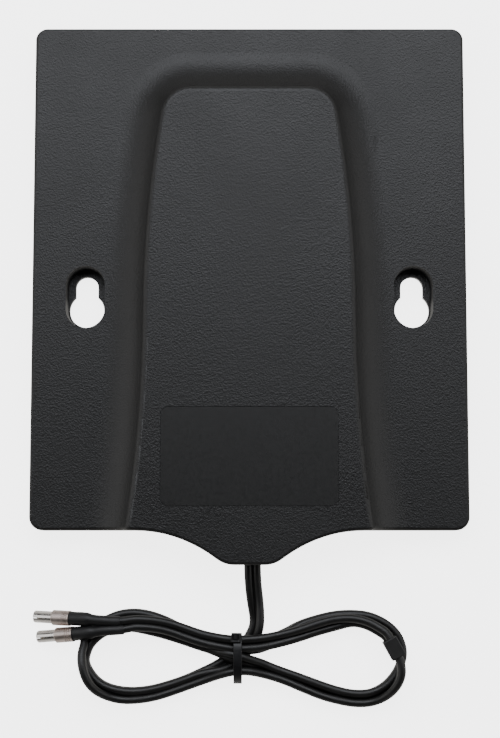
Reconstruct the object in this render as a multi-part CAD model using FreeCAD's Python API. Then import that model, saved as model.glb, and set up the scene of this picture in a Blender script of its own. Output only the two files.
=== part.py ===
"""Flat panel antenna with a raised centre, two keyhole hangers and a tied twin coaxial lead.

Frame, in millimetres: the housing lies on its flat back. +X is to the right and +Y towards the
edge that is uppermost on a wall, both seen from the front. +Z points out of the front. The
origin is at the middle of the housing's footprint, on the plane of its back.
"""
import FreeCAD, Part

import math
import os

V = FreeCAD.Vector
X_AXIS = V(1, 0, 0)
Y_AXIS = V(0, 1, 0)
Z_AXIS = V(0, 0, 1)

# Housing outline
HALF_WIDTH = 73.5
TOP_Y = 91.7
BOTTOM_Y = -80.3
TAB_END_Y = -91.7
TOP_CORNER_R = 4.0
BOTTOM_CORNER_R = 4.5
TAB_SLOPE = math.radians(36)
TAB_ROOT_R = 46.0
TAB_NOSE_R = 9.5
TAB_FLAT_HALF = 5.0

# Housing heights and walls
FLANGE_Z = 9.0
PLATEAU_Z = 17.0
WALL = 2.0
EDGE_R = 1.0
BACK_THICK = 2.0
BACK_GAP = 0.15

# Raised centre: a path along its upper edge, and the slope that falls away from it
PLATEAU_TOP_Y = 68.6
PLATEAU_HALF = 34.8
PLATEAU_WAIST_Y = -8.0
PLATEAU_CORNER_R = 9.5
SIDE_R = 420.0
FLARE_R = 480.0
FLARE_ANGLE = math.radians(12)
SLOPE_ANGLE = math.radians(52)
CREST_R = 2.5
FOOT_R = 17.0
LEAST_CREST_R = 0.5
AIR_REACH = 60.0
AIR_TOP = PLATEAU_Z + 5

# Keyhole hangers
KEYHOLE_X = 55.5
SLOT_R = 3.85
SLOT_Y = 2.3
ENTRY_R = 5.9
ENTRY_Y = -5.5
POCKET_R = 6.6
POCKET_FLOOR_R = 6.2
POCKET_LOW_Y = -5.7
POCKET_FLOOR_Z = 2.5
CUP_R = 8.2

# Label
LABEL_Y = -56.0
LABEL_SIZE = (58.6, 32.6)
LABEL_CORNER_R = 2.6
LABEL_THICK = 0.2
LABEL_RECESS = 0.3
LABEL_GAP = 0.2

# Screws that close the housing, from the back
COVER_SCREWS = [(-64, 82), (64, 82), (-64, -70), (64, -70), (-18, -76), (18, -76)]
THREAD_R = 1.1
CLEAR_R = 1.25
HEAD_R = 2.0
HEAD_THICK = 1.0
HEAD_SUNK = 0.1
HEAD_GAP = 0.2
BOSS_R = 3.0
COVER_SCREW_TOP = 7.5
PILOT_TOP = 7.8

# Proportions of every screw
HEAD_ROUNDING = 0.35
POINT_CHAMFER = 0.5
CROSS_DEPTH = 0.6
CROSS_REACH = 0.6
CROSS_HALF_WIDTH = 0.14

# Board stack inside
PLATE_X = 42.0
PLATE_Y = (-58.0, 82.0)
PLATE_Z = (2.8, 3.4)
POST_R = 3.5
BOARD_X = 26.0
BOARD_Y = (-44.0, 56.0)
BOARD_Z = (12.0, 13.0)
STACK_POINTS = [(-21, 50), (21, 50), (-21, -38), (21, -38)]
STACK_SCREW_R = 1.25
STACK_HOLE_R = 1.35
STACK_HEAD_R = 2.25
STACK_HEAD_THICK = 1.3
STACK_PILOT_Z = 0.8
SCREW_TIP_Z = 0.9
SPACER_R = 2.75
RADIATOR_THICK = 0.2
RADIATOR_X = (3.0, 23.5)
RADIATOR_Y = (-30.0, 44.0)
TUNING_SLOTS_Y = (-8.0, 22.0)
TUNING_SLOT_WIDTH = 2.5
NECK_HALF = 2.0
TONGUE_HALF = 1.5
TONGUE_LENGTH = 5.0

# Twin coaxial lead
COAX_D = 2.8
COAX_R = COAX_D / 2
COAX_HALF_PITCH = 1.42
CABLE_X = 1.0
EXIT_Z = 5.0
BUSH_Y = (TAB_END_Y, -86.0)
BUSH_HALF = (3.9, 2.5)
BUSH_FLANGE_HALF = (5.0, 2.9)
BUSH_FLANGE_Y = (-89.7, -88.5)
BUSH_STEM_HALF = (3.6, 2.1)
CLAMP_Y = (-79.0, -73.0)
CLAMP_HALF_X = 8.0
CLAMP_TOP = 8.0
CLAMP_SCREW_X = 5.6
CLAMP_ROUNDING = 1.2
JOINT_R = (0.7, 1.7)
JOINT_SUNK = 0.5
JOINT_AHEAD = 2.6

# Route of the lead from the bushing to the hank, and of the left coax inside the housing
STEM_ROUTE = [(1.0, -86.0, 5.0), (1.0, -95.0, 5.0), (1.6, -103.0, 2.6), (2.5, -109.4, 1.5),
              (1.4, -115.2, 1.4)]
INNER_ROUTE = [(-0.42, -86.0, 5.0), (-0.42, -66.0, 5.0), (-4.5, -55.5, 5.7), (-10.0, -46.5, 7.9),
               (-12.8, -38.0, 10.0), (-13.4, -29.5, 10.6)]

# Hank: two lobes of cable lying flat, tied in the middle
HANK_OUTER = [(-4, -115.6), (4, -115.0), (10.5, -113.2), (17, -110.2), (25, -108), (33, -106.9),
              (40, -107.8), (46, -110.8), (50.5, -115.8), (52.1, -121.5), (51.6, -127.5),
              (49, -134), (44, -137.5), (37, -138.9), (28.5, -137.6), (17, -133), (8, -129.8),
              (-1, -128.3), (-8, -128.7), (-18, -131.8), (-29, -135.6), (-38, -137.6),
              (-46, -137.2), (-52.5, -134), (-56, -129), (-57, -124), (-55.8, -118),
              (-52.6, -112.2), (-47.2, -108.4), (-42, -106.7), (-36, -106.6), (-29.4, -108.4),
              (-24, -110.8), (-16, -113.8), (-10, -115.1)]
HANK_RIGHT_HOLE = [(1.5, -121.9), (8, -119.7), (16.5, -117.4), (28.6, -113.1), (35, -112.2),
                   (40.5, -113.6), (45.2, -116.8), (49.0, -122), (48.6, -126), (45, -130.4),
                   (39.3, -132.8), (32, -132.7), (25, -130.8), (16.5, -127.4), (8, -124.2)]
HANK_LEFT_HOLE = [(-9.5, -122.7), (-16, -120.3), (-27.4, -116.4), (-35, -114.9), (-44, -114.6),
                  (-50.3, -116.6), (-53.4, -120.5), (-52.9, -125), (-50, -129.3), (-44.9, -131.7),
                  (-38, -132.6), (-27.4, -130.6), (-19.7, -127.8), (-13.5, -125)]
HANK_LOW_TOP = 2 * COAX_D
HANK_TOP = 3 * COAX_D
HANK_UPPER_X = -43.3

# Cable tie round the middle of the hank
TIE_X = -4.2
TIE_WIDTH = 2.9
TIE_THICK = 1.0
TIE_Y = (-129.8, -114.6)
TIE_HEAD = (3.6, 3.0, 3.4)
TIE_TAIL = 1.1
TIE_TAIL_NARROW = 0.3
TIE_TAIL_DROP = 2.0
TIE_OUTER_R = 1.8
TIE_INNER_R = 0.8
TIE_HEAD_PROUD = 0.8
TIE_HEAD_AHEAD = 0.7

# Moulded sleeve where the twin lead divides
SLEEVE_CENTRE = (48.3, -118.8)
SLEEVE_SIZE = (6.5, 4.4, 6.2)
SLEEVE_ANGLE = -61.6
SLEEVE_Z = 4.2
SLEEVE_ROUNDING = 0.7

# Plugs: tip point, heading in plan and rise of each, and the lengths along its axis
PLUGS = {"upper": ((-71.8, -108.9, 2.3), -2.4), "lower": ((-70.6, -115.6, 2.3), 5.0)}
PLUG_RISE = 16.0
BARREL_LENGTH = 6.5
BARREL_R = 2.0
BARREL_WALL = 0.35
BARREL_CHAMFER = (0.3, 0.15)
BARREL_SLIT = 0.22
BARREL_SLIT_LENGTH = 4.6
BARREL_TURN = 12.0
INSULATOR_R = 1.2
INSULATOR_LENGTH = 4.4
PIN_R = 0.45
PIN_PROUD = 1.2
PIN_POINT = 0.4
COLLAR_LENGTH = 6.2
COLLAR_R = 2.52
COLLAR_CHAMFER = 0.25
COLLAR_GROOVES = 3
GROOVES_START = 2.4
GROOVE_PITCH = 0.7
GROOVE_WIDTH = 0.42
GROOVE_SIDE = 0.12
GROOVE_DEPTH = 0.18
SHRINK_THICK_LENGTH = 6.4
SHRINK_THICK_R = 2.3
SHRINK_THIN_R = 1.6
SHRINK_CONE = 1.3
SHRINK_THIN_LENGTH = 8.9
SHRINK_STRAIGHT = 2.6


def block(x, y, z):
    """A box from three (low, high) pairs."""
    return Part.makeBox(x[1] - x[0], y[1] - y[0], z[1] - z[0], V(x[0], y[0], z[0]))


def rod(radius, low, high, x, y):
    """An upright cylinder."""
    return Part.makeCylinder(radius, high - low, V(x, y, low))


def line(a, b):
    return Part.LineSegment(a, b).toShape()


def arc(a, middle, b):
    return Part.Arc(a, middle, b).toShape()


def obround_wire(half_x, half_y, centre):
    """A slot outline in the XY plane, round at the ends of its longer side."""
    r = min(half_x, half_y)
    along, across = (X_AXIS, Y_AXIS) if half_x > half_y else (Y_AXIS, -X_AXIS)
    run = max(half_x, half_y) - r
    a = V(*centre) + along * run
    b = V(*centre) - along * run
    side = across * r
    tip = along * r
    return Part.Wire([line(b + side, a + side), arc(a + side, a + tip, a - side),
                      line(a - side, b - side), arc(b - side, b - tip, b + side)])


def prism(wire, low, high):
    """The solid between two heights over a closed outline drawn at height 0."""
    face = Part.Face(wire)
    face.translate(V(0, 0, low))
    return face.extrude(V(0, 0, high - low))


def obround(half_x, half_y, x, y, low, high):
    return prism(obround_wire(half_x, half_y, (x, y, 0)), low, high)


def panel_wire(inset=0.0):
    """The housing's outline, moved inwards by inset."""
    n = V(math.sin(TAB_SLOPE), math.cos(TAB_SLOPE), 0)
    half_n = V(math.sin(TAB_SLOPE / 2), math.cos(TAB_SLOPE / 2), 0)
    reach = TAB_ROOT_R + TAB_NOSE_R
    drop = BOTTOM_Y - TAB_END_Y
    root_x = TAB_FLAT_HALF + (reach * (1 - n.y) + drop * n.y) / n.x
    root = V(-root_x, BOTTOM_Y - TAB_ROOT_R, 0)
    nose = V(-TAB_FLAT_HALF, TAB_END_Y + TAB_NOSE_R, 0)
    root_r = TAB_ROOT_R + inset
    nose_r = TAB_NOSE_R - inset
    left = -HALF_WIDTH + inset
    top = TOP_Y - inset
    bottom = BOTTOM_Y + inset
    top_r = TOP_CORNER_R - inset
    low_r = BOTTOM_CORNER_R - inset
    q = math.sqrt(0.5)
    top_c = V(left + top_r, top - top_r, 0)
    low_c = V(left + low_r, bottom + low_r, 0)
    half = [
        arc(V(top_c.x, top, 0), top_c + V(-q * top_r, q * top_r, 0), V(left, top_c.y, 0)),
        line(V(left, top_c.y, 0), V(left, low_c.y, 0)),
        arc(V(left, low_c.y, 0), low_c + V(-q * low_r, -q * low_r, 0), V(low_c.x, bottom, 0)),
        line(V(low_c.x, bottom, 0), root + V(0, root_r, 0)),
        arc(root + V(0, root_r, 0), root + half_n * root_r, root + n * root_r),
        line(root + n * root_r, nose - n * nose_r),
        arc(nose - n * nose_r, nose - half_n * nose_r, nose - V(0, nose_r, 0)),
    ]
    other = [edge.mirror(V(0, 0, 0), X_AXIS) for edge in half]
    ends = [line(V(top_c.x, top, 0), V(-top_c.x, top, 0)),
            line(V(-TAB_FLAT_HALF, TAB_END_Y + inset, 0), V(TAB_FLAT_HALF, TAB_END_Y + inset, 0))]
    return Part.Wire(Part.__sortEdges__(half + other + ends))


def slope_face(offset, place):
    """The section of the air beside the raised centre. place(s, z) gives a point s outside the
    path along the crest. offset lowers the section by a wall thickness, measured square to it."""
    tan_half = math.tan(SLOPE_ANGLE / 2)
    sin_a = math.sin(SLOPE_ANGLE)
    cos_a = math.cos(SLOPE_ANGLE)
    high = PLATEAU_Z - offset
    low = FLANGE_Z - offset
    crest_r = max(CREST_R - offset, LEAST_CREST_R)
    foot_r = FOOT_R + offset
    crest = -offset * tan_half
    foot = crest + (high - low) / math.tan(SLOPE_ANGLE)
    crest_t = crest_r * tan_half
    foot_t = foot_r * tan_half
    sin_h = math.sin(SLOPE_ANGLE / 2)
    cos_h = math.cos(SLOPE_ANGLE / 2)
    a = place(crest - crest_t, high)
    a_mid = place(crest - crest_t + crest_r * sin_h, high - crest_r * (1 - cos_h))
    b = place(crest + crest_t * cos_a, high - crest_t * sin_a)
    c = place(foot - foot_t * cos_a, low + foot_t * sin_a)
    c_mid = place(foot + foot_t - foot_r * sin_h, low + foot_r * (1 - cos_h))
    d = place(foot + foot_t, low)
    e = place(AIR_REACH, low)
    f = place(AIR_REACH, AIR_TOP)
    g = place(crest - crest_t, AIR_TOP)
    return Part.Face(Part.Wire([arc(a, a_mid, b), line(b, c), arc(c, c_mid, d), line(d, e), line(e, f),
                                line(f, g), line(g, a)]))


def air(offset):
    """Everything in front of the housing's face, swept along the crest of the raised centre."""
    side_c = V(PLATEAU_HALF - SIDE_R, PLATEAU_WAIST_Y, 0)
    flare_c = V(PLATEAU_HALF + FLARE_R, PLATEAU_WAIST_Y, 0)
    corner_y = PLATEAU_TOP_Y - PLATEAU_CORNER_R
    corner_x = side_c.x + math.sqrt((SIDE_R - PLATEAU_CORNER_R) ** 2 - (corner_y - side_c.y) ** 2)
    corner_c = V(corner_x, corner_y, 0)
    side_turn = math.degrees(math.atan2(corner_y - side_c.y, corner_x - side_c.x))
    ahead = slope_face(offset, lambda s, z: V(-corner_x, PLATEAU_TOP_Y + s, z))
    corner = slope_face(offset, lambda s, z: corner_c + V(0, PLATEAU_CORNER_R + s, z))
    beside = slope_face(offset, lambda s, z: V(PLATEAU_HALF + s, PLATEAU_WAIST_Y, z))
    right = [
        corner.revolve(corner_c, Z_AXIS, side_turn - 90),
        beside.revolve(side_c, Z_AXIS, side_turn),
        beside.revolve(flare_c, Z_AXIS, math.degrees(FLARE_ANGLE)),
    ]
    left = [piece.mirror(V(0, 0, 0), X_AXIS) for piece in right]
    top = ahead.extrude(V(2 * corner_x, 0, 0))
    return [top] + right + left


def housing_solid(inset, offset, low):
    """The housing's outer form, or with inset and offset the space inside it."""
    solid = prism(panel_wire(inset), low, PLATEAU_Z - offset)
    return solid.cut(air(offset))


def rounded_front(solid):
    """The outer form with its front edge rounded all the way round the outline."""
    rim = panel_wire()
    edges = []
    for edge in solid.Edges:
        box = edge.BoundBox
        middle = edge.valueAt((edge.FirstParameter + edge.LastParameter) / 2)
        on_rim = rim.distToShape(Part.Vertex(V(middle.x, middle.y, 0)))[0] < 1e-4
        upright = box.XLength + box.YLength < 1e-3
        if on_rim and not upright and box.ZMin > 1:
            edges.append(edge)
    return solid.makeFillet(EDGE_R, edges)


def keyhole_cut(x):
    """What is open at a keyhole: the pocket in front, and the keyhole through its floor."""
    middle = (SLOT_Y + POCKET_LOW_Y) / 2
    half = (SLOT_Y - POCKET_LOW_Y) / 2
    floor = obround_wire(POCKET_FLOOR_R, half + POCKET_FLOOR_R, (x, middle, POCKET_FLOOR_Z))
    rise = AIR_TOP - POCKET_FLOOR_Z
    draft = (POCKET_R - POCKET_FLOOR_R) / (FLANGE_Z - POCKET_FLOOR_Z)
    rim_r = POCKET_FLOOR_R + draft * rise
    rim = obround_wire(rim_r, half + rim_r, (x, middle, AIR_TOP))
    pocket = Part.makeLoft([floor, rim], True, True)
    slot = block((x - SLOT_R, x + SLOT_R), (ENTRY_Y, SLOT_Y), (-1, FLANGE_Z))
    return pocket.fuse([slot, rod(SLOT_R, -1, FLANGE_Z, x, SLOT_Y), rod(ENTRY_R, -1, FLANGE_Z, x, ENTRY_Y)])


def cup(x, radius, low, high):
    """The obround prism that holds a keyhole pocket."""
    middle = (SLOT_Y + POCKET_LOW_Y) / 2
    half = (SLOT_Y - POCKET_LOW_Y) / 2
    return obround(radius, half + radius, x, middle, low, high)


def label_prism(grow, low, high):
    """A round-cornered rectangle the size of the label, plus grow on each side."""
    half_x = LABEL_SIZE[0] / 2 + grow
    half_y = LABEL_SIZE[1] / 2 + grow
    solid = block((-half_x, half_x), (LABEL_Y - half_y, LABEL_Y + half_y), (low, high))
    corners = [e for e in solid.Edges if abs(e.BoundBox.ZLength - (high - low)) < 1e-6]
    return solid.makeFillet(LABEL_CORNER_R, corners)


def rating_label():
    low = PLATEAU_Z - LABEL_RECESS
    return label_prism(0, low, low + LABEL_THICK)


def twin_opening(y, half):
    """An obround prism along Y, centred on the lead's exit."""
    solid = obround(half[0], half[1], 0, 0, 0, y[1] - y[0])
    solid.rotate(V(0, 0, 0), X_AXIS, -90)
    solid.translate(V(CABLE_X, y[0], EXIT_Z))
    return solid


def front_cover():
    outer = rounded_front(housing_solid(0, 0, 0))
    shell = outer.cut(housing_solid(WALL, WALL, -1))
    posts = [rod(BOSS_R, BACK_THICK, PLATEAU_Z, x, y) for x, y in COVER_SCREWS]
    posts += [cup(side * KEYHOLE_X, CUP_R, 0, PLATEAU_Z) for side in (-1, 1)]
    shell = shell.fuse([post.common(outer) for post in posts])
    openings = [keyhole_cut(side * KEYHOLE_X) for side in (-1, 1)]
    openings += [rod(THREAD_R, 0, PILOT_TOP, x, y) for x, y in COVER_SCREWS]
    openings.append(label_prism(LABEL_GAP, PLATEAU_Z - LABEL_RECESS, AIR_TOP))
    openings.append(twin_opening((TAB_END_Y - 1, BUSH_FLANGE_Y[0]), BUSH_HALF))
    return shell.cut(openings).removeSplitter()


def back_cover():
    plate = prism(panel_wire(WALL + BACK_GAP), 0, BACK_THICK)
    extra = [rod(POST_R, 0, PLATE_Z[0], x, y) for x, y in STACK_POINTS]
    pad_x = (CABLE_X - CLAMP_HALF_X, CABLE_X + CLAMP_HALF_X)
    extra.append(block(pad_x, CLAMP_Y, (0, EXIT_Z - COAX_R)))
    plate = plate.fuse(extra)
    openings = [cup(side * KEYHOLE_X, CUP_R + BACK_GAP, -1, BACK_THICK + 1) for side in (-1, 1)]
    for x, y in COVER_SCREWS:
        openings.append(rod(CLEAR_R, -1, BACK_THICK + 1, x, y))
        openings.append(rod(HEAD_R + HEAD_GAP, -1, HEAD_SUNK + HEAD_THICK, x, y))
    for x, y in STACK_POINTS:
        openings.append(rod(STACK_SCREW_R, STACK_PILOT_Z, PLATE_Z[0], x, y))
    for x in clamp_screw_places():
        openings.append(rod(THREAD_R, STACK_PILOT_Z, EXIT_Z, x, sum(CLAMP_Y) / 2))
    return plate.cut(openings).removeSplitter()


def clamp_screw_places():
    return [CABLE_X - CLAMP_SCREW_X, CABLE_X + CLAMP_SCREW_X]


def screw(x, y, head_at, tip_at, shaft_r, head_r, head_thick):
    """An upright screw. Its head's seat is at head_at, and its tip at tip_at."""
    up = -1 if tip_at > head_at else 1
    outer = head_at + up * head_thick
    head = rod(head_r, min(head_at, outer), max(head_at, outer), x, y)
    rims = [e for e in head.Edges if abs(e.BoundBox.ZMin - outer) < 1e-6 and e.BoundBox.ZLength < 1e-6]
    head = head.makeFillet(HEAD_ROUNDING * head_thick, rims)
    shaft = rod(shaft_r, min(head_at, tip_at), max(head_at, tip_at), x, y)
    points = [e for e in shaft.Edges if abs(e.BoundBox.ZMin - tip_at) < 1e-6 and e.BoundBox.ZLength < 1e-6]
    shaft = shaft.makeChamfer(POINT_CHAMFER * shaft_r, points)
    floor = outer - up * CROSS_DEPTH * head_thick
    depth = (min(floor, outer + up), max(floor, outer + up))
    long = CROSS_REACH * head_r
    short = CROSS_HALF_WIDTH * head_r
    cross = block((x - long, x + long), (y - short, y + short), depth)
    cross = cross.fuse(block((x - short, x + short), (y - long, y + long), depth))
    return head.fuse(shaft).cut(cross)


def cover_screws():
    seat = HEAD_SUNK + HEAD_THICK
    return [screw(x, y, seat, COVER_SCREW_TOP, THREAD_R, HEAD_R, HEAD_THICK) for x, y in COVER_SCREWS]


def board_screws():
    return [screw(x, y, BOARD_Z[1], SCREW_TIP_Z, STACK_SCREW_R, STACK_HEAD_R, STACK_HEAD_THICK)
            for x, y in STACK_POINTS]


def clamp_screws():
    y = sum(CLAMP_Y) / 2
    return [screw(x, y, CLAMP_TOP, SCREW_TIP_Z, THREAD_R, HEAD_R, HEAD_THICK)
            for x in clamp_screw_places()]


def stack_holes(z):
    return [rod(STACK_HOLE_R, z[0] - 1, z[1] + 1, x, y) for x, y in STACK_POINTS]


def rounded_plate(x, y, z, corner_r):
    solid = block(x, y, z)
    corners = [e for e in solid.Edges if abs(e.BoundBox.ZLength - (z[1] - z[0])) < 1e-6]
    return solid.makeFillet(corner_r, corners)


def ground_plate():
    return rounded_plate((-PLATE_X, PLATE_X), PLATE_Y, PLATE_Z, 3).cut(stack_holes(PLATE_Z))


def antenna_board():
    return rounded_plate((-BOARD_X, BOARD_X), BOARD_Y, BOARD_Z, 2).cut(stack_holes(BOARD_Z))


def radiator(side):
    """One printed radiator: a patch with two tuning slots and a feed tongue at its lower end."""
    low, high = RADIATOR_X
    x = (low, high) if side > 0 else (-high, -low)
    z = (BOARD_Z[1], BOARD_Z[1] + RADIATOR_THICK)
    middle = sum(x) / 2
    patch = block(x, RADIATOR_Y, z)
    slots = []
    through = (z[0] - 1, z[1] + 1)
    for low_y in TUNING_SLOTS_Y:
        y = (low_y, low_y + TUNING_SLOT_WIDTH)
        slots.append(block((x[0] - 1, middle - NECK_HALF), y, through))
        slots.append(block((middle + NECK_HALF, x[1] + 1), y, through))
    tongue_y = (RADIATOR_Y[0] - TONGUE_LENGTH, RADIATOR_Y[0])
    tongue = block((middle - TONGUE_HALF, middle + TONGUE_HALF), tongue_y, z)
    return patch.cut(slots).fuse(tongue).removeSplitter()


def board_spacers():
    return [rod(SPACER_R, PLATE_Z[1], BOARD_Z[0], x, y).cut(rod(STACK_HOLE_R, 0, PLATEAU_Z, x, y))
            for x, y in STACK_POINTS]


def route_wire(points, name):
    """Straight runs joined by tangent arcs, each arc as large as its two runs allow."""
    points = [V(*p) for p in points]
    edges = []
    start = points[0]
    radii = []
    for before, corner, after in zip(points, points[1:], points[2:]):
        run_in = (corner - before).Length
        run_out = (after - corner).Length
        u = (corner - before).normalize()
        w = (after - corner).normalize()
        turn = u.getAngle(w)
        tangent = 0.45 * min(run_in, run_out)
        radius = tangent / math.tan(turn / 2)
        a = corner - u * tangent
        b = corner + w * tangent
        bisector = (w - u).normalize()
        middle = corner + bisector * (radius / math.cos(turn / 2) - radius)
        edges += [line(start, a), arc(a, middle, b)]
        radii.append(round(radius, 1))
        start = b
    edges.append(line(start, points[-1]))
    print(name, "bend radii", radii)
    return Part.Wire(edges)


def tube(points, radius, name):
    """A round solid along a route."""
    path = route_wire(points, name)
    first = path.Edges[0]
    heading = first.tangentAt(first.FirstParameter)
    ring = Part.Wire([Part.makeCircle(radius, V(*points[0]), heading)])
    solid = path.makePipeShell([ring], True, False)
    expected = math.pi * radius ** 2 * path.Length
    print(name, "length", round(path.Length, 1), "volume", round(solid.Volume, 1), "of",
          round(expected, 1))
    return solid


def shifted(points, dx):
    return [(x + dx, y, z) for x, y, z in points]


def cable_stem():
    """The two jackets of the twin lead, side by side, from inside the bushing to the hank."""
    return [tube(shifted(STEM_ROUTE, side * COAX_HALF_PITCH), COAX_R, "stem") for side in (-1, 1)]


def coax_inner(side):
    points = INNER_ROUTE if side < 0 else [(2 * CABLE_X - x, y, z) for x, y, z in INNER_ROUTE]
    return tube(points, COAX_R, "inner coax")


def feed_joints():
    """Solder joints between each coax end and the back of the board."""
    joints = []
    end_x, end_y, end_z = INNER_ROUTE[-1]
    low_z = end_z - JOINT_SUNK
    for x in (end_x, 2 * CABLE_X - end_x):
        joints.append(Part.makeCone(*JOINT_R, BOARD_Z[0] - low_z, V(x, end_y + JOINT_AHEAD, low_z)))
    return joints


def cable_clamp():
    x = (CABLE_X - CLAMP_HALF_X, CABLE_X + CLAMP_HALF_X)
    bar = block(x, CLAMP_Y, (EXIT_Z - COAX_R, CLAMP_TOP))
    top = [e for e in bar.Edges if abs(e.BoundBox.ZMin - CLAMP_TOP) < 1e-6 and e.BoundBox.XLength < 1e-6]
    bar = bar.makeFillet(CLAMP_ROUNDING, top)
    half = COAX_HALF_PITCH + COAX_R
    through = (CLAMP_Y[0] - 1, CLAMP_Y[1] + 1)
    channel = block((CABLE_X - half, CABLE_X + half), through, (0, EXIT_Z + COAX_R))
    holes = [rod(CLEAR_R, 0, CLAMP_TOP + 1, x, sum(CLAMP_Y) / 2) for x in clamp_screw_places()]
    return bar.cut([channel] + holes)


def cable_bushing():
    body = twin_opening((BUSH_Y[0], BUSH_FLANGE_Y[0]), BUSH_HALF)
    flange = twin_opening(BUSH_FLANGE_Y, BUSH_FLANGE_HALF)
    stem = twin_opening((BUSH_FLANGE_Y[1], BUSH_Y[1]), BUSH_STEM_HALF)
    hole = twin_opening((BUSH_Y[0] - 1, BUSH_Y[1] + 1), (COAX_HALF_PITCH + COAX_R, COAX_R))
    return body.fuse([flange, stem]).removeSplitter().cut(hole)


def loop_wire(points):
    curve = Part.BSplineCurve()
    curve.interpolate(Points=[V(x, y, 0) for x, y in points], PeriodicFlag=True)
    return Part.Wire([curve.toShape()])


def cable_hank(neighbours):
    """The outer form of the coiled lead: two open lobes, lower under the plugs' heat shrinks, and
    cut away round the pieces that lie in it."""
    holes = [prism(loop_wire(points), -1, HANK_TOP + 1) for points in (HANK_RIGHT_HOLE, HANK_LEFT_HOLE)]
    solid = prism(loop_wire(HANK_OUTER), 0, HANK_TOP).cut(holes)
    above_plugs = block((-80, HANK_UPPER_X), (-150, -100), (HANK_LOW_TOP, HANK_TOP + 1))
    solid = solid.cut([above_plugs] + neighbours)
    pieces = sorted(solid.Solids, key=lambda s: s.Volume)
    return pieces[-1]


def cable_tie():
    """A closed strap round the bundle, with its head at the upper end and the cut tail below."""
    low_y, high_y = TIE_Y
    x = (TIE_X - TIE_WIDTH / 2, TIE_X + TIE_WIDTH / 2)
    top = HANK_TOP + TIE_THICK
    outer = block(x, (low_y, high_y), (0, top))
    inner = block((x[0] - 1, x[1] + 1), (low_y + TIE_THICK, high_y - TIE_THICK), (TIE_THICK, HANK_TOP))
    along = [e for e in outer.Edges if e.BoundBox.YLength + e.BoundBox.ZLength < 1e-6]
    outer = outer.makeFillet(TIE_OUTER_R, along)
    inner_along = [e for e in inner.Edges if e.BoundBox.YLength + e.BoundBox.ZLength < 1e-6]
    inner = inner.makeFillet(TIE_INNER_R, inner_along)
    head_x, head_y, head_z = TIE_HEAD
    head_top = top + TIE_HEAD_PROUD
    head_end = high_y + TIE_HEAD_AHEAD
    head = block((TIE_X - head_x / 2, TIE_X + head_x / 2), (head_end - head_y, head_end),
                 (head_top - head_z, head_top))
    head = head.cut(block((x[0] - 2, x[1] + 2), (low_y, high_y - TIE_THICK), (0, HANK_TOP)))
    tail_top = top - TIE_TAIL_DROP
    tail = block((x[0] + TIE_TAIL_NARROW, x[1] - TIE_TAIL_NARROW), (low_y - TIE_TAIL, low_y + 1),
                 (tail_top - TIE_THICK, tail_top))
    return outer.fuse([head, tail]).cut(inner).removeSplitter()


def split_sleeve():
    length, width, height = SLEEVE_SIZE
    solid = block((-length / 2, length / 2), (-width / 2, width / 2), (0, height))
    solid = solid.makeFillet(SLEEVE_ROUNDING, solid.Edges)
    solid.rotate(V(0, 0, 0), Z_AXIS, SLEEVE_ANGLE)
    solid.translate(V(SLEEVE_CENTRE[0], SLEEVE_CENTRE[1], SLEEVE_Z))
    return solid


def along_plug(solid, which):
    """Moves a piece drawn along +X from the plug's tip to its place."""
    tip, heading = PLUGS[which]
    solid.rotate(V(0, 0, 0), Y_AXIS, -PLUG_RISE)
    solid.rotate(V(0, 0, 0), Z_AXIS, heading)
    solid.translate(V(*tip))
    return solid


def turned(points):
    """The solid of revolution about X of an (x, radius) outline."""
    corners = [V(x, 0, r) for x, r in points]
    edges = [line(a, b) for a, b in zip(corners, corners[1:] + corners[:1])]
    return Part.Face(Part.Wire(edges)).revolve(V(0, 0, 0), X_AXIS, 360)


def plug_barrel(which):
    """The contact sleeve of the plug, with four slits. The seam of the turned face lies between
    two slits, so the face is whole there."""
    inner = BARREL_R - BARREL_WALL
    end = BARREL_LENGTH
    run, drop = BARREL_CHAMFER
    shell = turned([(0, inner), (0, BARREL_R - drop), (run, BARREL_R), (end, BARREL_R), (end, inner)])
    shell.rotate(V(0, 0, 0), X_AXIS, 45)
    half = BARREL_SLIT / 2
    reach = BARREL_R + 1
    slits = [block((-1, BARREL_SLIT_LENGTH), (-reach, reach), (-half, half)),
             block((-1, BARREL_SLIT_LENGTH), (-half, half), (-reach, reach))]
    shell = shell.cut(slits)
    shell.rotate(V(0, 0, 0), X_AXIS, BARREL_TURN)
    return along_plug(shell, which)


def plug_insulator(which):
    start = BARREL_LENGTH - INSULATOR_LENGTH
    end = BARREL_LENGTH
    outline = [(start, PIN_R), (start, INSULATOR_R), (end, INSULATOR_R), (end, PIN_R)]
    return along_plug(turned(outline), which)


def plug_pin(which):
    start = BARREL_LENGTH - INSULATOR_LENGTH - PIN_PROUD
    outline = [(start, 0), (start + PIN_POINT, PIN_R), (BARREL_LENGTH, PIN_R), (BARREL_LENGTH, 0)]
    return along_plug(turned(outline), which)


def plug_collar(which):
    """The solid collar behind the barrel, with fine grooves at its cable end."""
    start = BARREL_LENGTH
    end = start + COLLAR_LENGTH
    floor_r = COLLAR_R - GROOVE_DEPTH
    outline = [(start, 0), (start, COLLAR_R - COLLAR_CHAMFER), (start + COLLAR_CHAMFER, COLLAR_R)]
    for i in range(COLLAR_GROOVES):
        x = end - GROOVES_START + GROOVE_PITCH * i
        outline += [(x, COLLAR_R), (x + GROOVE_SIDE, floor_r)]
        outline += [(x + GROOVE_WIDTH - GROOVE_SIDE, floor_r), (x + GROOVE_WIDTH, COLLAR_R)]
    outline += [(end, COLLAR_R), (end, 0)]
    return along_plug(turned(outline), which)


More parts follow.
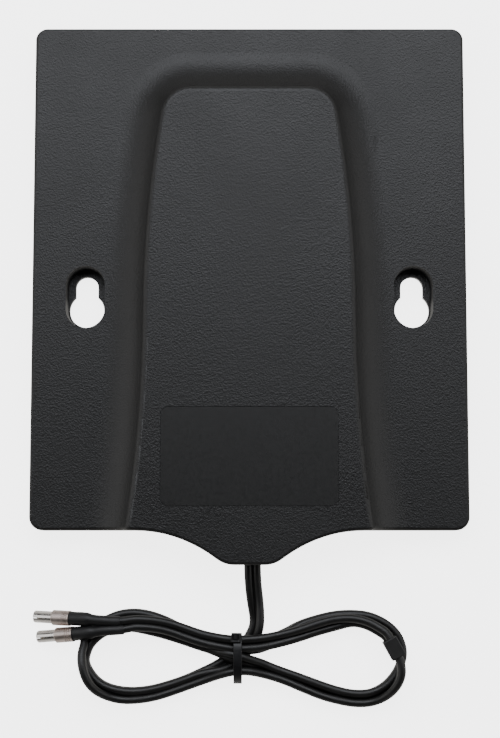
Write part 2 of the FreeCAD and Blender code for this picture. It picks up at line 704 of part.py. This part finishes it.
def heat_shrink(which):
    """Shrunk tubing: wide over the collar's tail, narrow over the cable, bending level."""
    tip, heading = PLUGS[which]
    start = BARREL_LENGTH + COLLAR_LENGTH
    wide_end = start + SHRINK_THICK_LENGTH
    cone_end = wide_end + SHRINK_CONE
    wide = turned([(start, 0), (start, SHRINK_THICK_R), (wide_end, SHRINK_THICK_R),
                   (cone_end, SHRINK_THIN_R), (cone_end, 0)])
    flat = math.radians(heading)
    rise = math.radians(PLUG_RISE)
    along = V(math.cos(flat) * math.cos(rise), math.sin(flat) * math.cos(rise), math.sin(rise))
    level = V(math.cos(flat), math.sin(flat), 0)
    a = V(*tip) + along * cone_end
    b = a + along * SHRINK_STRAIGHT
    c = b + level * (SHRINK_THIN_LENGTH - SHRINK_STRAIGHT)
    thin = tube([tuple(a), tuple(b), tuple(c)], SHRINK_THIN_R, "heat shrink " + which)
    return along_plug(wide, which).fuse(thin).removeSplitter()


def save(name, shape):
    if isinstance(shape, list):
        shape = Part.makeCompound(shape)
    print(name, "valid", shape.isValid(), "solids", len(shape.Solids), "mm3", round(shape.Volume, 1))
    shape.exportStep("parts/" + name + ".step")


def main():
    os.makedirs("parts", exist_ok=True)
    save("front_cover", front_cover())
    save("back_cover", back_cover())
    save("cover_screws", cover_screws())
    save("rating_label", rating_label())
    save("ground_plate", ground_plate())
    save("board_spacers", board_spacers())
    save("antenna_board", antenna_board())
    save("board_screws", board_screws())
    save("radiator_left", radiator(-1))
    save("radiator_right", radiator(1))
    save("feed_joints", feed_joints())
    save("coax_inner_left", coax_inner(-1))
    save("coax_inner_right", coax_inner(1))
    save("cable_clamp", cable_clamp())
    save("clamp_screws", clamp_screws())
    save("cable_bushing", cable_bushing())
    stem = cable_stem()
    tie = cable_tie()
    sleeve = split_sleeve()
    shrinks = {which: heat_shrink(which) for which in PLUGS}
    save("cable_stem", stem)
    save("cable_tie", tie)
    save("split_sleeve", sleeve)
    save("cable_hank", cable_hank([tie, sleeve] + stem + list(shrinks.values())))
    for which in PLUGS:
        save("heat_shrink_" + which, shrinks[which])
        save("plug_collar_" + which, plug_collar(which))
        save("plug_barrel_" + which, plug_barrel(which))
        save("plug_insulator_" + which, plug_insulator(which))
        save("plug_pin_" + which, plug_pin(which))


main()
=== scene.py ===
"""A flat panel antenna lying on a pale floor, with its twin lead folded into a tied hank.

Lengths are in metres unless a name ends in _MM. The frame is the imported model's own: the housing
lies on its back, +Y towards its upper edge, +Z out of its front.
"""

import math

import bpy
from mathutils import Matrix, Vector


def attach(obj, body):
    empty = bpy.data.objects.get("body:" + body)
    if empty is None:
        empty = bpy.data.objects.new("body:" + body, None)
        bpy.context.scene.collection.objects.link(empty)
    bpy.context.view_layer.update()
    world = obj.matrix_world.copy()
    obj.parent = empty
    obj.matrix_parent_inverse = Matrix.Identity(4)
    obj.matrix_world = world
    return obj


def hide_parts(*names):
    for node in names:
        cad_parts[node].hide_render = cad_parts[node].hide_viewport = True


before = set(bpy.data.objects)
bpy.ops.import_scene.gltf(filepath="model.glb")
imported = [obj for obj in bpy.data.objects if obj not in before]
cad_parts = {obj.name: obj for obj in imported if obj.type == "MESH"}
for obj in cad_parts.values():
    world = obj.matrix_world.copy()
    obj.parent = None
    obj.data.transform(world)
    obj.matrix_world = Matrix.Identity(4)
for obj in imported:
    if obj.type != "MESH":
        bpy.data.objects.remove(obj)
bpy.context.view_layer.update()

MM = 0.001

# Camera and floor
CAMERA_PLACE = (0.0002, -0.0874, 0.560)
CAMERA_TILT = math.radians(6.33)
LENS = 80.4
SENSOR = 36.0
FLOOR_SIDE = 16.0
FLOOR_GLOW = 4.0

# Lights, all aimed at the frame's origin: place, width and height, watts, colour
WHITE = (1, 1, 1)
LIGHTS = {
    "overhead": ((0, 0.63, 0.98), (1.3, 0.8), 12.0, (0.92, 0.945, 1.0)),
    "left": ((-1.0, 0.1, 0.6), (0.8, 1.0), 3.2, WHITE),
    "right": ((1.0, 0.1, 0.6), (0.8, 1.0), 2.8, WHITE),
}
# World: how its strength falls with the height of a direction, from -1, down, to 1, up
WORLD_COLOUR = (1, 0.98, 0.94)
WORLD_FADE = {"From Min": -0.25, "From Max": 0.55, "To Min": 0.85, "To Max": 0.06}

# Nearly all of a noise texture's values lie between these two
NOISE_RANGE = (0.3, 0.7)

# Twin lead's section: radius of a jacket, half the distance between the two jackets' centres, and
# half the thickness of the neck that joins them
COAX_R_MM = 1.4
HALF_PITCH_MM = 1.42
NECK_HALF_MM = 0.45

# Meshes: points to each stretch of a route and to each round jacket, and the smallest angle that
# stays a sharp edge
SPLINE_STEPS = 6
RING_SIDES = 20
SHARP_ANGLE = math.radians(40)

# Routes in millimetres. The twin lead has a fourth value: how far it is turned about its own
# line, from 0, lying flat, to 90, standing on edge.
TWIN_ROUTE = [
    # from the bushing to the tie
    (1, -86, 5, 0), (1, -93, 5, 0), (1.3, -98.5, 4.2, 0), (1.9, -103.5, 3, 10),
    (2.6, -109.1, 2.4, 40), (2.4, -112.4, 2.5, 40), (1.2, -115.6, 2, 22), (-0.8, -118.7, 1.5, 0),
    (-2.9, -121.1, 1.6, 0), (-5.4, -123.2, 1.9, 10),
    # lower left, inner
    (-8.4, -124.8, 2.3, 25), (-12, -126.2, 2.8, 60), (-16.3, -127.5, 3, 85),
    (-21.3, -129.6, 3, 90), (-27, -131.5, 3, 90), (-33, -133.1, 3, 90), (-39.4, -133.7, 3, 90),
    # left bend, below
    (-45.5, -132.9, 3, 90), (-50, -130.9, 3, 90), (-53, -127.7, 3, 90), (-55, -123.8, 3, 90),
    (-54.1, -120.1, 3, 90), (-52.8, -117.6, 3, 90),
    # upper left, inner
    (-49.4, -114.5, 3, 90), (-45.3, -113, 3, 90), (-39.9, -112.3, 3, 90), (-33.8, -113.5, 3, 90),
    (-27.8, -115, 3, 90), (-21.8, -116.9, 3, 90), (-15.6, -119, 2.9, 90), (-11, -120.5, 3.6, 80),
    # over the lead at the tie, then lower right, inner
    (-7.4, -121.5, 5.8, 62), (-3.8, -122.5, 6.3, 50), (-0.2, -123.7, 5.3, 48),
    (4.1, -124.9, 3.4, 60), (8.9, -126.5, 2.9, 78), (15.8, -128.9, 3, 75), (22.9, -131.6, 3, 72),
    (29.2, -133.6, 3, 76),
    # right bend, below
    (34.8, -134.6, 3, 80), (40.1, -134.3, 3, 84), (44.9, -132.1, 3, 90), (48.4, -128.5, 3, 90),
    (50.5, -124.5, 3, 90), (51.3, -120.6, 3, 90), (50.3, -116.5, 3, 90), (48.2, -113.3, 3, 90),
    # upper right, outer
    (44.4, -110.4, 3, 90), (39.7, -108.5, 3, 90), (34.3, -108, 3, 90), (28.6, -108.3, 3, 90),
    (23, -109.6, 3, 90), (16.8, -111.5, 3, 90), (11.4, -114.8, 2.9, 80), (7.2, -116.9, 3.8, 45),
    # under the two tails at the tie
    (3.2, -118.2, 5, 10), (-0.9, -118.7, 4.7, 0), (-4.5, -118.8, 4.5, 10), (-8.1, -118.4, 3.4, 50),
    (-11.8, -116.8, 2.9, 80), (-15.4, -115.7, 3, 90),
    # upper left, outer
    (-19.4, -114.2, 3, 90), (-23.8, -112.2, 3, 90), (-28.5, -109.9, 3, 90), (-33.5, -108.2, 3, 90),
    (-38.5, -107.5, 3, 90), (-43.6, -108.1, 3, 90), (-47.8, -109.9, 3, 90), (-52.2, -111.8, 3, 90),
    # left bend, on top
    (-55, -114.4, 2.8, 90), (-54.8, -117.7, 4.5, 90), (-55.6, -121.3, 7.1, 90),
    (-55.2, -125.1, 8.3, 90), (-53.9, -129.2, 8, 90), (-51.5, -132.5, 6.3, 90),
    (-47.7, -134.9, 3.8, 90), (-42.7, -136.3, 2.9, 90),
    # lower left, outer
    (-37, -136.2, 3, 90), (-31, -135.2, 3, 90), (-25.1, -133.3, 3, 90), (-19, -131.1, 3, 90),
    (-13.3, -129.1, 3.1, 90), (-8.3, -127.4, 4.7, 90),
    # at the tie, lowest
    (-4.1, -126.6, 5.1, 90), (0, -126.7, 4.5, 90), (5.4, -127.9, 2.9, 90), (11.4, -129.7, 3, 90),
    # lower right, outer
    (18.2, -132.6, 3, 90), (24.5, -135.1, 3, 90), (30.1, -136.5, 3, 90), (35.4, -137.4, 3, 90),
    (40.8, -137.1, 2.8, 90), (45.4, -135, 4.3, 90),
    # right bend, on top, to the sleeve
    (48.7, -131.6, 7.2, 90), (50.3, -127.7, 8.3, 90), (50.1, -124.1, 8.3, 90),
    (49, -121.3, 8.2, 90), (47.3, -118.3, 8.2, 90),
]
TAIL_ROUTES = {
    "upper": [
        (47.3, -118.3, 9.6), (46.3, -114.6, 9.3), (42.9, -112.3, 8.7), (39.1, -110.3, 7.9),
        (34.1, -109.2, 7.3), (28.5, -109.5, 7), (22.5, -111.1, 7), (16.2, -113.3, 7), (9.4, -115, 6.9),
        (3.4, -116, 7.4), (-1.5, -116.3, 7.3), (-6, -116.3, 7.3), (-11.1, -115.6, 7.4),
        (-16.1, -114.5, 6.9), (-21, -112.8, 7), (-26.1, -111, 7.1), (-30.7, -110.1, 7.9),
        (-34.6, -109.7, 8.4), (-38.4, -109.6, 8.6), (-43.1, -110.4, 8.6), (-50.6, -109.9, 8.6),
        (-52.2, -109.7, 7.9), (-59.6, -109.4, 5.8),
    ],
    "lower": [
        (47.6, -118.5, 6.8), (45.6, -115.5, 6.5), (42.5, -113.5, 6), (38.9, -111.6, 5.6),
        (34.3, -110.6, 5.2), (28.6, -112.2, 4.9), (22.5, -113.8, 5.1), (16.2, -115.9, 5.9),
        (9.4, -117.7, 6.7), (3.4, -118.9, 7.4), (-1.5, -119.2, 7.3), (-6, -119.2, 7.3),
        (-11.1, -118.3, 7.4), (-16.1, -117.2, 6.9), (-21, -115.6, 7), (-26.1, -113.7, 7.1),
        (-30.7, -112.6, 7.9), (-34.6, -112.2, 8.4), (-38.2, -112.1, 8.6), (-41.9, -113, 8.6),
        (-49.5, -113.3, 8.6), (-51.1, -113.7, 7.9), (-58.4, -114.5, 5.8),
    ],
}

# Sleeve where the twin lead divides
SLEEVE_CENTRE_MM = (47.8, -119.0, 8.2)
SLEEVE_SIZE_MM = (6.8, 4.9, 6.2)
SLEEVE_ANGLE = math.radians(-61.6)
SLEEVE_BEVEL_MM = 0.3

# Cable tie: the strap's line (y, z) round the bundle, its head, and the pawl in the head. The
# pawl's outline is in shares of the head's half sizes, and it ends just below the head's rim.
TIE_X_MM = -3.9
TIE_LOOP_MM = [(-114.9, 7.6), (-117.5, 9.4), (-121, 9.7), (-124.5, 9.6), (-127.8, 8.8), (-130, 6.8),
               (-130.6, 4.4), (-130.2, 2), (-128.4, 0.5), (-124, 0.5), (-119, 0.5), (-116.4, 0.6),
               (-114.9, 2), (-114.6, 4.8)]
TIE_HALF_WIDTH_MM = 1.4
TIE_HALF_THICK_MM = 0.45
TIE_EDGE_MM = 0.15
TIE_HEAD_MIDDLE_MM = (-4.55, -115.6, 8.3)
TIE_HEAD_SIZE_MM = (3.5, 3.0, 4.2)
TIE_HEAD_TAPER = 0.8
TIE_HEAD_WALL_MM = 0.6
TIE_HEAD_DEPTH_MM = 0.8
TIE_PAWL = [(-0.35, -0.5), (0.35, -0.5), (0.35, 0.7), (-0.35, 0.7)]
TIE_PAWL_SUNK_MM = 0.16
TIE_BEVEL_MM = 0.18
TIE_BEVEL_ANGLE = math.radians(50)

# Heat shrink profile: (distance from the plug's collar, radius), in millimetres
SHRINK_PROFILE_MM = [(0, 2.0), (0.05, 2.26), (0.4, 2.32), (1.6, 2.28), (3.4, 2.33), (5.2, 2.3),
                     (6.2, 2.28), (6.8, 2.1), (7.4, 1.86), (8.2, 1.75), (10, 1.71), (13, 1.73),
                     (15, 1.7), (17.0, 1.72), (17.25, 1.62), (17.28, 1.4)]


def link(obj):
    bpy.context.scene.collection.objects.link(obj)
    return obj


# ---------------------------------------------------------------- node materials

class Shader:
    """A material's node tree, with short calls for adding nodes to it."""

    def __init__(self, name, colour, roughness, metallic=0.0):
        self.material = bpy.data.materials.new(name)
        self.material.use_nodes = True
        self.tree = self.material.node_tree
        self.bsdf = self.tree.nodes["Principled BSDF"]
        self.set(self.bsdf, {"Base Color": (*colour, 1), "Roughness": roughness, "Metallic": metallic})
        self.colour = colour
        self.place = self.add("ShaderNodeTexCoord").outputs["Object"]

    def set(self, node, values):
        for key, value in values.items():
            if isinstance(value, bpy.types.NodeSocket):
                self.tree.links.new(value, node.inputs[key])
            else:
                node.inputs[key].default_value = value

    def add(self, kind, values=None, **fields):
        node = self.tree.nodes.new(kind)
        for key, value in fields.items():
            setattr(node, key, value)
        self.set(node, values or {})
        return node

    def scaled(self, scale):
        return self.add("ShaderNodeMapping", {"Vector": self.place, "Scale": scale}).outputs[0]

    def noise(self, scale, detail, vector=None):
        values = {"Vector": vector or self.place, "Scale": scale, "Detail": detail}
        return self.add("ShaderNodeTexNoise", values).outputs["Fac"]

    def cells(self, scale, vector):
        values = {"Vector": vector, "Scale": scale, "Smoothness": 0.6}
        return self.add("ShaderNodeTexVoronoi", values, feature="SMOOTH_F1").outputs["Distance"]

    def waves(self, scale, direction):
        values = {"Vector": self.place, "Scale": scale}
        return self.add("ShaderNodeTexWave", values, bands_direction=direction).outputs["Fac"]

    def maths(self, operation, a, b):
        node = self.add("ShaderNodeMath", operation=operation)
        for socket, value in zip(node.inputs, (a, b)):
            if isinstance(value, bpy.types.NodeSocket):
                self.tree.links.new(value, socket)
            else:
                socket.default_value = value
        return node.outputs[0]

    def ramp(self, value, low, high, out_low, out_high):
        values = {"Value": value, "From Min": low, "From Max": high, "To Min": out_low, "To Max": out_high}
        return self.add("ShaderNodeMapRange", values).outputs[0]

    def shade(self, value, low_factor, high_factor):
        """Varies the base colour between two multiples of itself."""
        mix = self.add("ShaderNodeMix", data_type="RGBA")
        self.tree.links.new(value, mix.inputs[0])
        mix.inputs[6].default_value = (*[c * low_factor for c in self.colour], 1)
        mix.inputs[7].default_value = (*[c * high_factor for c in self.colour], 1)
        self.tree.links.new(mix.outputs[2], self.bsdf.inputs["Base Color"])

    def bump(self, height, depth):
        """Raises the surface by height times depth, in metres."""
        node = self.add("ShaderNodeBump", {"Height": height, "Distance": depth, "Strength": 1.0})
        self.tree.links.new(node.outputs[0], self.bsdf.inputs["Normal"])


def grained_plastic(name, colour, roughness, grain, depth):
    """Moulded plastic with a leather grain: pebbles, bent out of shape, with finer dimples."""
    bend, dimples, uneven = 0.0012, 0.35, 0.03
    s = Shader(name, colour, roughness)
    drift = s.add("ShaderNodeTexNoise", {"Vector": s.place, "Scale": grain * 0.6, "Detail": 3.0})
    bent = s.add("ShaderNodeVectorMath", operation="MULTIPLY_ADD")
    s.tree.links.new(drift.outputs["Color"], bent.inputs[0])
    bent.inputs[1].default_value = (bend, bend, bend)
    s.tree.links.new(s.place, bent.inputs[2])
    pebbles = s.cells(grain, bent.outputs[0])
    fine = s.noise(grain * 3.1, 3.0)
    height = s.maths("ADD", pebbles, s.maths("MULTIPLY", fine, dimples))
    s.bump(height, depth)
    s.shade(s.ramp(height, 0.2, 1.0, 0, 1), 1.15, 0.8)
    broad = s.noise(45.0, 3.0)
    rough = s.maths("ADD", s.ramp(broad, *NOISE_RANGE, roughness - uneven, roughness + uneven),
                    s.ramp(fine, *NOISE_RANGE, -uneven, uneven))
    s.set(s.bsdf, {"Roughness": rough})
    return s.material


def smooth_plastic(name, colour, roughness, mottle=120.0, depth=0.00001):
    """Plainly moulded or extruded plastic, with faint flow marks."""
    s = Shader(name, colour, roughness)
    marks = s.noise(mottle, 4.0)
    fine = s.noise(mottle * 14, 2.0)
    s.shade(s.ramp(marks, *NOISE_RANGE, 0, 1), 0.85, 1.15)
    s.set(s.bsdf, {"Roughness": s.ramp(marks, *NOISE_RANGE, roughness - 0.05, roughness + 0.05)})
    s.bump(s.maths("ADD", marks, s.maths("MULTIPLY", fine, 0.4)), depth)
    return s.material


def bare_metal(name, colour, roughness, brushed=2600.0, depth=0.000003):
    """Plated or turned metal, with fine tool lines that are close together along X."""
    s = Shader(name, colour, roughness, 1.0)
    lines = s.noise(brushed, 3.0, s.scaled((1, 0.06, 0.06)))
    smudge = s.noise(500.0, 3.0)
    s.shade(s.ramp(smudge, *NOISE_RANGE, 0, 1), 0.85, 1.05)
    s.set(s.bsdf, {"Roughness": s.ramp(smudge, *NOISE_RANGE, roughness - 0.06, roughness + 0.08)})
    s.bump(lines, depth)
    return s.material


def laminate(name):
    """Glass-cloth circuit board under a green mask."""
    s = Shader(name, (0.02, 0.16, 0.06), 0.35)
    threads = 320.0
    weave = s.maths("MULTIPLY", s.waves(threads, "X"), s.waves(threads, "Y"))
    s.shade(weave, 0.75, 1.2)
    s.bump(weave, 0.00002)
    return s.material


def materials():
    """Every finish: name, colour, roughness, then the pattern's scale and its depth in metres."""
    return {
        "housing": grained_plastic("housing_plastic", (0.0065, 0.0064, 0.0064), 0.42, 1700.0, 0.00008),
        "label": smooth_plastic("label_film", (0.005, 0.0049, 0.0045), 0.42, 900.0, 0.0000015),
        "jacket": smooth_plastic("cable_jacket", (0.006, 0.0059, 0.0057), 0.43, 260.0, 0.00002),
        "shrink": smooth_plastic("shrink_tube", (0.005, 0.005, 0.0055), 0.5, 400.0, 0.00006),
        "sleeve": smooth_plastic("sleeve_pvc", (0.008, 0.0076, 0.0074), 0.46, 300.0, 0.00002),
        "nylon": smooth_plastic("black_nylon", (0.003, 0.0031, 0.004), 0.40, 500.0, 0.00001),
        "rubber": smooth_plastic("black_rubber", (0.01, 0.01, 0.01), 0.65, 300.0, 0.00002),
        "white_nylon": smooth_plastic("white_nylon", (0.7, 0.69, 0.64), 0.45),
        "dielectric": smooth_plastic("plug_dielectric", (0.8, 0.79, 0.75), 0.45),
        "zinc": bare_metal("zinc_steel", (0.62, 0.62, 0.6), 0.35),
        "tinned": bare_metal("tinned_plate", (0.66, 0.66, 0.64), 0.4, 900.0),
        "copper": bare_metal("copper", (0.8, 0.4, 0.25), 0.35, 900.0),
        "solder": bare_metal("solder", (0.6, 0.6, 0.62), 0.3, 400.0),
        "nickel": bare_metal("plug_nickel", (0.86, 0.83, 0.8), 0.16),
        "collar": bare_metal("collar_nickel", (0.62, 0.54, 0.5), 0.33),
        "gold": bare_metal("contact_gold", (0.9, 0.66, 0.3), 0.25),
        "board": laminate("board_laminate"),
    }


# ---------------------------------------------------------------- meshes

def smooth(mesh):
    """Shades the mesh smooth, apart from its sharp edges."""
    mesh.shade_smooth()
    mesh.set_sharp_from_angle(angle=SHARP_ANGLE)


def mesh_piece(name, vertices, faces, material, slot):
    mesh = bpy.data.meshes.new(name)
    mesh.from_pydata([tuple(v) for v in vertices], [], faces)
    mesh.validate()
    mesh.update()
    mesh.materials.append(material)
    smooth(mesh)
    piece = link(bpy.data.objects.new(name, mesh))
    return piece


def spline_points(points, closed=False):
    """Points along the smooth line through a route or round a loop, read from its NURBS spline."""
    curve = bpy.data.curves.new("route", "CURVE")
    curve.dimensions = "3D"
    spline = curve.splines.new("NURBS")
    spline.points.add(len(points) - 1)
    for target, point in zip(spline.points, points):
        target.co = (*point, 1)
    spline.order_u = 3
    spline.use_endpoint_u = not closed
    spline.use_cyclic_u = closed
    spline.resolution_u = SPLINE_STEPS
    holder = link(bpy.data.objects.new("route", curve))
    mesh = bpy.data.meshes.new_from_object(holder.evaluated_get(bpy.context.evaluated_depsgraph_get()))
    line = [v.co.copy() for v in mesh.vertices]
    bpy.data.objects.remove(holder)
    bpy.data.meshes.remove(mesh)
    return line


def directions(line):
    """The heading at each point, and the level and upper directions square to it."""
    axes = []
    for i in range(len(line)):
        heading = (line[min(i + 1, len(line) - 1)] - line[max(i - 1, 0)]).normalized()
        level = Vector((0, 0, 1)).cross(heading).normalized()
        axes.append((heading, level, heading.cross(level)))
    return axes


def side_faces(a, b, sides):
    """Faces between two closed rings of points, whose first points have the indices a and b."""
    return [(a + j, a + (j + 1) % sides, b + (j + 1) % sides, b + j) for j in range(sides)]


def swept(rings, closed=False):
    """Vertices and faces of a tube through rings of points, closed on itself or with flat ends."""
    sides = len(rings[0])
    vertices = [point for ring in rings for point in ring]
    faces = []
    for i in range(len(rings) if closed else len(rings) - 1):
        faces += side_faces(i * sides, (i + 1) % len(rings) * sides, sides)
    if not closed:
        faces.append(tuple(reversed(range(sides))))
        faces.append(tuple(range(len(vertices) - sides, len(vertices))))
    return vertices, faces


def twin_section():
    """Outline of two round jackets joined by a narrow neck, in millimetres."""
    neck = math.asin(NECK_HALF_MM / COAX_R_MM)
    outline = []
    for side in (1, -1):
        start = -math.pi + neck if side > 0 else neck
        for i in range(RING_SIDES):
            angle = start + (2 * math.pi - 2 * neck) * i / (RING_SIDES - 1)
            outline.append((side * HALF_PITCH_MM + COAX_R_MM * math.cos(angle), COAX_R_MM * math.sin(angle)))
    return outline


def twin_cable(finish):
    """The twin lead, rolled about its own line as its route says."""
    line = spline_points([Vector(p[:3]) * MM for p in TWIN_ROUTE])
    rolls = [math.radians(p.x) for p in spline_points([(p[3], 0, 0) for p in TWIN_ROUTE])]
    section = twin_section()
    rings = []
    for point, roll, (heading, level, up) in zip(line, rolls, directions(line)):
        across = level * math.cos(roll) + up * math.sin(roll)
        over = heading.cross(across)
        rings.append([point + (across * x + over * y) * MM for x, y in section])
    return mesh_piece("twin_cable", *swept(rings), finish["jacket"], "cable_jacket"), line


def round_tube(name, line, radii, material, slot):
    """A piece in the form of a round tube with a radius for each point of its line."""
    turns = [2 * math.pi * i / RING_SIDES for i in range(RING_SIDES)]
    rings = []
    for point, radius, (_, level, up) in zip(line, radii, directions(line)):
        rings.append([point + (level * math.cos(t) + up * math.sin(t)) * radius for t in turns])
    return mesh_piece(name, *swept(rings), material, slot)


def tail_cable(which, finish):
    """One of the two single leads, from the sleeve to its plug."""
    line = spline_points([Vector(p) * MM for p in TAIL_ROUTES[which]])
    radii = [COAX_R_MM * MM] * len(line)
    return round_tube("tail_" + which, line, radii, finish["jacket"], "cable_jacket"), line


def back_along(line, distance):
    """The point that lies a distance before the line's end."""
    left = distance
    for a, b in zip(reversed(line[:-1]), reversed(line[1:])):
        run = (b - a).length
        if left <= run:
            return b.lerp(a, left / run)
        left -= run
    return line[0]


def heat_shrink(which, line, finish):
    """The tube over the end of a single lead, thick by the plug and thin further back."""
    places = [back_along(line, distance * MM) for distance, _ in SHRINK_PROFILE_MM]
    radii = [radius * MM for _, radius in SHRINK_PROFILE_MM]
    return round_tube("shrink_" + which, places, radii, finish["shrink"], "shrink_tube")


def tie_strap():
    """The strap: a flat band with chamfered edges on a closed loop round the bundle."""
    line = spline_points([Vector((TIE_X_MM, y, z)) * MM for y, z in TIE_LOOP_MM], closed=True)
    half_w, half_t, edge = TIE_HALF_WIDTH_MM, TIE_HALF_THICK_MM, TIE_EDGE_MM
    section = [(half_w, half_t - edge), (half_w - edge, half_t), (edge - half_w, half_t),
               (-half_w, half_t - edge), (-half_w, edge - half_t), (edge - half_w, -half_t),
               (half_w - edge, -half_t), (half_w, edge - half_t)]
    across = Vector((1, 0, 0))
    rings = []
    for i, point in enumerate(line):
        heading = (line[(i + 1) % len(line)] - line[i - 1]).normalized()
        out = heading.cross(across)
        rings.append([point + (across * x + out * t) * MM for x, t in section])
    return swept(rings, closed=True)


def tie_head():
    """The head: a tapered block, open at the front, with the pawl inside it."""
    x, y, z = TIE_HEAD_MIDDLE_MM
    sx, sy, sz = (s / 2 for s in TIE_HEAD_SIZE_MM)
    taper, wall, depth = TIE_HEAD_TAPER, TIE_HEAD_WALL_MM, TIE_HEAD_DEPTH_MM
    inner = [(wall - sx, wall - sy), (sx - wall, wall - sy), ((sx - wall) * taper, sy - wall),
             ((wall - sx) * taper, sy - wall)]
    outer = [(-sx, -sy), (sx, -sy), (sx * taper, sy), (-sx * taper, sy)]
    levels = [(outer, -sz), (outer, sz), (inner, sz), (inner, sz - depth)]
    vertices = [Vector((x + a, y + b, z + c)) * MM for ring, c in levels for a, b in ring]
    faces = [(3, 2, 1, 0), (12, 13, 14, 15)]
    for level in range(3):
        faces += side_faces(level * 4, level * 4 + 4, 4)
    start = len(vertices)
    for height in (sz - depth, sz - TIE_PAWL_SUNK_MM):
        vertices += [Vector((x + a * sx, y + b * sy, z + height)) * MM for a, b in TIE_PAWL]
    faces += side_faces(start, start + 4, 4)
    faces.append((start + 4, start + 5, start + 6, start + 7))
    faces.append((start + 3, start + 2, start + 1, start))
    return vertices, faces


def hank_tie(finish):
    """The cable tie: its strap and head as one piece."""
    vertices, faces = tie_strap()
    start = len(vertices)
    more, more_faces = tie_head()
    vertices += more
    faces += [tuple(i + start for i in face) for face in more_faces]
    tie = mesh_piece("hank_tie", vertices, faces, finish["nylon"], "black_nylon")
    bevel = tie.modifiers.new("edges", "BEVEL")
    bevel.width = TIE_BEVEL_MM * MM
    bevel.segments = 2
    bevel.limit_method = "ANGLE"
    bevel.angle_limit = TIE_BEVEL_ANGLE
    return tie


def sleeve(finish):
    """The rounded block over the place where the twin lead divides."""
    bpy.ops.mesh.primitive_cube_add(size=1)
    piece = bpy.context.object
    piece.name = "splitter_sleeve"
    turn = Matrix.Rotation(SLEEVE_ANGLE, 4, "Z")
    size = Matrix.Diagonal((*[s * MM for s in SLEEVE_SIZE_MM], 1))
    piece.data.transform(Matrix.Translation(Vector(SLEEVE_CENTRE_MM) * MM) @ turn @ size)
    piece.data.materials.append(finish["sleeve"])
    bevel = piece.modifiers.new("edges", "BEVEL")
    bevel.width = SLEEVE_BEVEL_MM * MM
    bevel.segments = 3
    smooth(piece.data)
    return piece


# ---------------------------------------------------------------- the scene

def paint_nodes(finish):
    """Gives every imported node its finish."""
    by_node = {
        "front_cover": "housing", "back_cover": "housing", "rating_label": "label", "cover_screws": "zinc",
        "board_screws": "zinc", "clamp_screws": "zinc", "ground_plate": "tinned", "antenna_board": "board",
        "board_spacers": "white_nylon", "cable_clamp": "nylon", "radiator_left": "copper",
        "radiator_right": "copper", "feed_joints": "solder", "coax_inner_left": "jacket",
        "coax_inner_right": "jacket", "cable_bushing": "rubber", "cable_stem": "jacket",
        "cable_hank": "jacket", "cable_tie": "nylon", "split_sleeve": "sleeve",
    }
    for which in ("upper", "lower"):
        by_node["heat_shrink_" + which] = "shrink"
        by_node["plug_collar_" + which] = "collar"
        by_node["plug_barrel_" + which] = "nickel"
        by_node["plug_insulator_" + which] = "dielectric"
        by_node["plug_pin_" + which] = "gold"
    for name, kind in by_node.items():
        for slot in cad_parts[name].material_slots:
            slot.material = finish[kind]


def make_camera():
    data = bpy.data.cameras.new("camera")
    data.sensor_width = SENSOR
    data.lens = LENS
    camera = link(bpy.data.objects.new("camera", data))
    camera.location = CAMERA_PLACE
    camera.rotation_euler = (CAMERA_TILT, 0, 0)
    bpy.context.scene.camera = camera


def make_floor():
    """A pale sheet that glows, seen by the camera but not in the object's shading."""
    bpy.ops.mesh.primitive_plane_add(size=FLOOR_SIDE, location=(0, 0, 0))
    floor = bpy.context.object
    floor.name = "floor"
    s = Shader("floor_paper", (0.9, 0.9, 0.9), 0.9)
    s.shade(s.noise(6.0, 3.0), 0.99, 1.0)
    s.bump(s.noise(1500.0, 2.0), 0.00001)
    s.set(s.bsdf, {"Emission Color": (1, 1, 1, 1), "Emission Strength": FLOOR_GLOW})
    floor.data.materials.append(s.material)
    floor.visible_diffuse = False
    floor.visible_glossy = False


def make_lights():
    for name, (place, size, watts, colour) in LIGHTS.items():
        data = bpy.data.lights.new(name, "AREA")
        data.shape = "RECTANGLE"
        data.size, data.size_y = size
        data.energy = watts
        data.color = colour
        light = link(bpy.data.objects.new(name, data))
        light.location = place
        light.rotation_euler = (-Vector(place)).to_track_quat("-Z", "Y").to_euler()


def make_world():
    """A dim world that is brighter near the horizon and below it."""
    world = bpy.data.worlds.new("studio")
    world.use_nodes = True
    tree = world.node_tree
    background = tree.nodes["Background"]
    background.inputs["Color"].default_value = (*WORLD_COLOUR, 1)
    place = tree.nodes.new("ShaderNodeTexCoord")
    height = tree.nodes.new("ShaderNodeSeparateXYZ")
    tree.links.new(place.outputs["Generated"], height.inputs[0])
    fade = tree.nodes.new("ShaderNodeMapRange")
    tree.links.new(height.outputs["Z"], fade.inputs["Value"])
    for key, value in WORLD_FADE.items():
        fade.inputs[key].default_value = value
    tree.links.new(fade.outputs[0], background.inputs["Strength"])
    bpy.context.scene.world = world


def main():
    finish = materials()
    paint_nodes(finish)
    cable, line = twin_cable(finish)
    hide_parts("cable_stem", "cable_hank")
    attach(cable, "root")
    splitter = sleeve(finish)
    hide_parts("split_sleeve")
    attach(splitter, "root")
    tie = hank_tie(finish)
    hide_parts("cable_tie")
    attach(tie, "root")
    for which in ("upper", "lower"):
        tail, tail_line = tail_cable(which, finish)
        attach(tail, "root")
        shrink = heat_shrink(which, tail_line, finish)
        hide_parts("heat_shrink_" + which)
        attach(shrink, "root")
    make_camera()
    make_floor()
    make_lights()
    make_world()


main()
